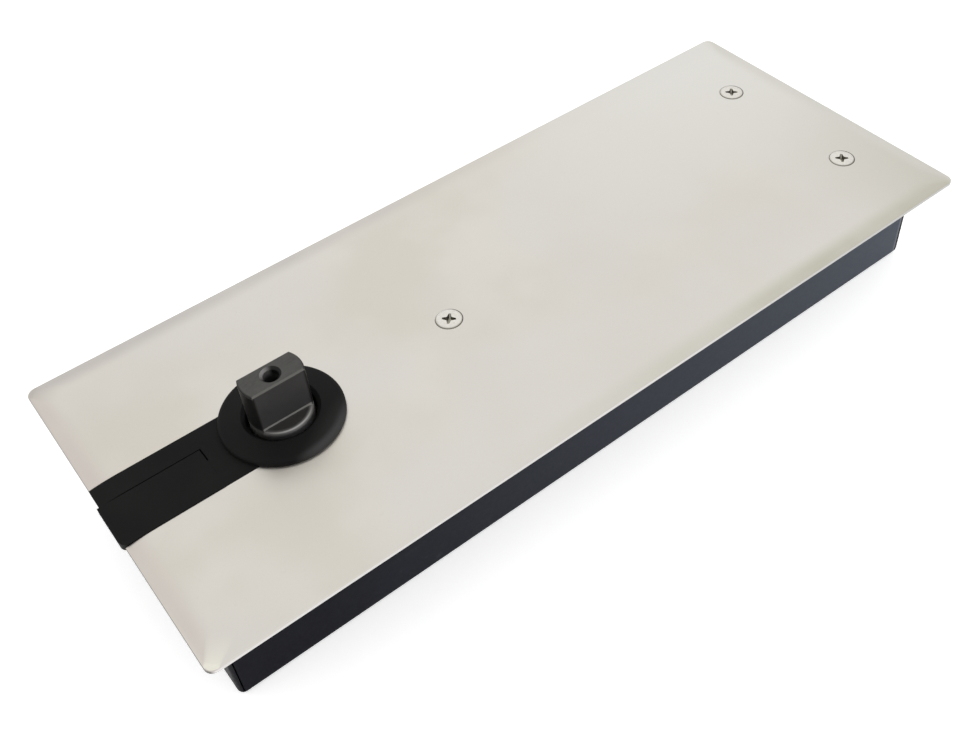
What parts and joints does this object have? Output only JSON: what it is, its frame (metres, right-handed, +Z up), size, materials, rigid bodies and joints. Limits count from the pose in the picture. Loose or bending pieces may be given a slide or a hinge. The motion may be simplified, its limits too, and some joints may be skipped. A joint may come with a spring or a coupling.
{
  "type": "floor spring door closer",
  "caption": "Floor spring closer: satin steel cover plate, black slot insert and collar, two-flat spindle, cement box and a cam and roller closer inside.",
  "frame": {"origin": "on the spindle's axis, which is the door's pivot axis, at the underside of the cement box", "axes": "+X from the spindle end of the cover to its far end, +Y across the cover, +Z up along the spindle"},
  "size_m": [0.3008, 0.124, 0.0613],
  "materials": {
    "cover_steel": "satin stainless, fine grain",
    "screw_steel": "bright stainless",
    "black_moulding": "matt black moulding",
    "box_paint": "black baked paint, satin",
    "zinc_steel": "zinc plated",
    "cast_body": "grey cast iron, oiled",
    "dark_steel": "black oxide",
    "rubber": "matt nitrile",
    "bearing_steel": "ground and polished",
    "brass_washer": "plain turned",
    "spring_steel": "blued spring steel",
    "spindle_steel": "dark phosphated steel",
    "ground_steel": "machined"
  },
  "bodies": {
    "casing": {"cover_plate": "cover_steel", "cover_screws": "screw_steel", "slot_insert": "black_moulding", "cement_box": "box_paint", "cover_bracket": "zinc_steel", "closer_body": "cast_body", "bearing_cap": "cast_body", "cap_screws": "dark_steel", "cap_o_ring": "rubber", "spindle_seal": "rubber", "upper_outer_race": "bearing_steel", "lower_outer_race": "bearing_steel", "end_plug": "zinc_steel", "end_plug_o_ring": "rubber", "filler_plug": "zinc_steel", "filler_washer": "brass_washer", "height_screws": "dark_steel", "hold_down_bolts": "dark_steel", "hold_down_washers": "zinc_steel", "base_nuts": "zinc_steel", "main_spring": "spring_steel"},
    "spindle": {"spindle": "spindle_steel", "heart_cam": "ground_steel", "cam_key": "ground_steel", "upper_inner_race": "bearing_steel", "lower_inner_race": "bearing_steel"},
    "upper_bearing": {"upper_cage": "brass_washer", "upper_rollers": "bearing_steel"},
    "lower_bearing": {"lower_cage": "brass_washer", "lower_rollers": "bearing_steel"},
    "carriage": {"lower_slide_plate": "ground_steel", "upper_slide_plate": "ground_steel", "front_follower_pin": "bearing_steel", "rear_follower_pin": "bearing_steel", "crosshead": "ground_steel", "crosshead_pins": "bearing_steel", "pull_rod": "ground_steel", "piston": "ground_steel", "piston_ring": "bearing_steel", "piston_nut": "zinc_steel", "check_ball": "bearing_steel", "check_retainer": "brass_washer"},
    "front_follower": {"front_follower": "bearing_steel"},
    "rear_follower": {"rear_follower": "bearing_steel"},
    "closing_valve": {"closing_valve": "brass_washer", "closing_valve_ring": "rubber"},
    "latching_valve": {"latching_valve": "brass_washer", "latching_valve_ring": "rubber"}
  },
  "joints": [
    {"name": "spindle_turn", "type": "hinge", "parent": "casing", "child": "spindle", "pos_m": [0, 0, 0.0205], "axis": [0, 0, 1], "range_deg": [0, 130], "stiffness_Nm_per_rad": 4.4},
    {"name": "carriage_slide", "type": "slide", "parent": "casing", "child": "carriage", "axis": [-1, 0, 0], "range_m": [0, 0.01362], "deforming": ["main_spring"]},
    {"name": "upper_bearing_turn", "type": "hinge", "parent": "casing", "child": "upper_bearing", "pos_m": [0, 0, 0.0325], "axis": [0, 0, 1], "range_deg": [0, 60]},
    {"name": "lower_bearing_turn", "type": "hinge", "parent": "casing", "child": "lower_bearing", "pos_m": [0, 0, 0.0087], "axis": [0, 0, 1], "range_deg": [0, 60]},
    {"name": "front_follower_spin", "type": "hinge", "parent": "carriage", "child": "front_follower", "pos_m": [-0.0192, 0, 0.0205], "axis": [0, 0, 1], "continuous": true},
    {"name": "rear_follower_spin", "type": "hinge", "parent": "carriage", "child": "rear_follower", "pos_m": [0.03805, 0, 0.0205], "axis": [0, 0, 1], "continuous": true},
    {"name": "closing_valve_turn", "type": "hinge", "parent": "casing", "child": "closing_valve", "pos_m": [0.1065, 0.0255, 0.03], "axis": [0, 0, 1], "range_deg": [0, 360]},
    {"name": "latching_valve_turn", "type": "hinge", "parent": "casing", "child": "latching_valve", "pos_m": [0.1445, 0.0255, 0.03], "axis": [0, 0, 1], "range_deg": [0, 360]}
  ],
  "couplings": [
    {"joint": "carriage_slide", "follows": "spindle_turn", "m_per_rad": 0.006},
    {"joint": "upper_bearing_turn", "follows": "spindle_turn", "ratio": 0.43},
    {"joint": "lower_bearing_turn", "follows": "spindle_turn", "ratio": 0.415}
  ]
}
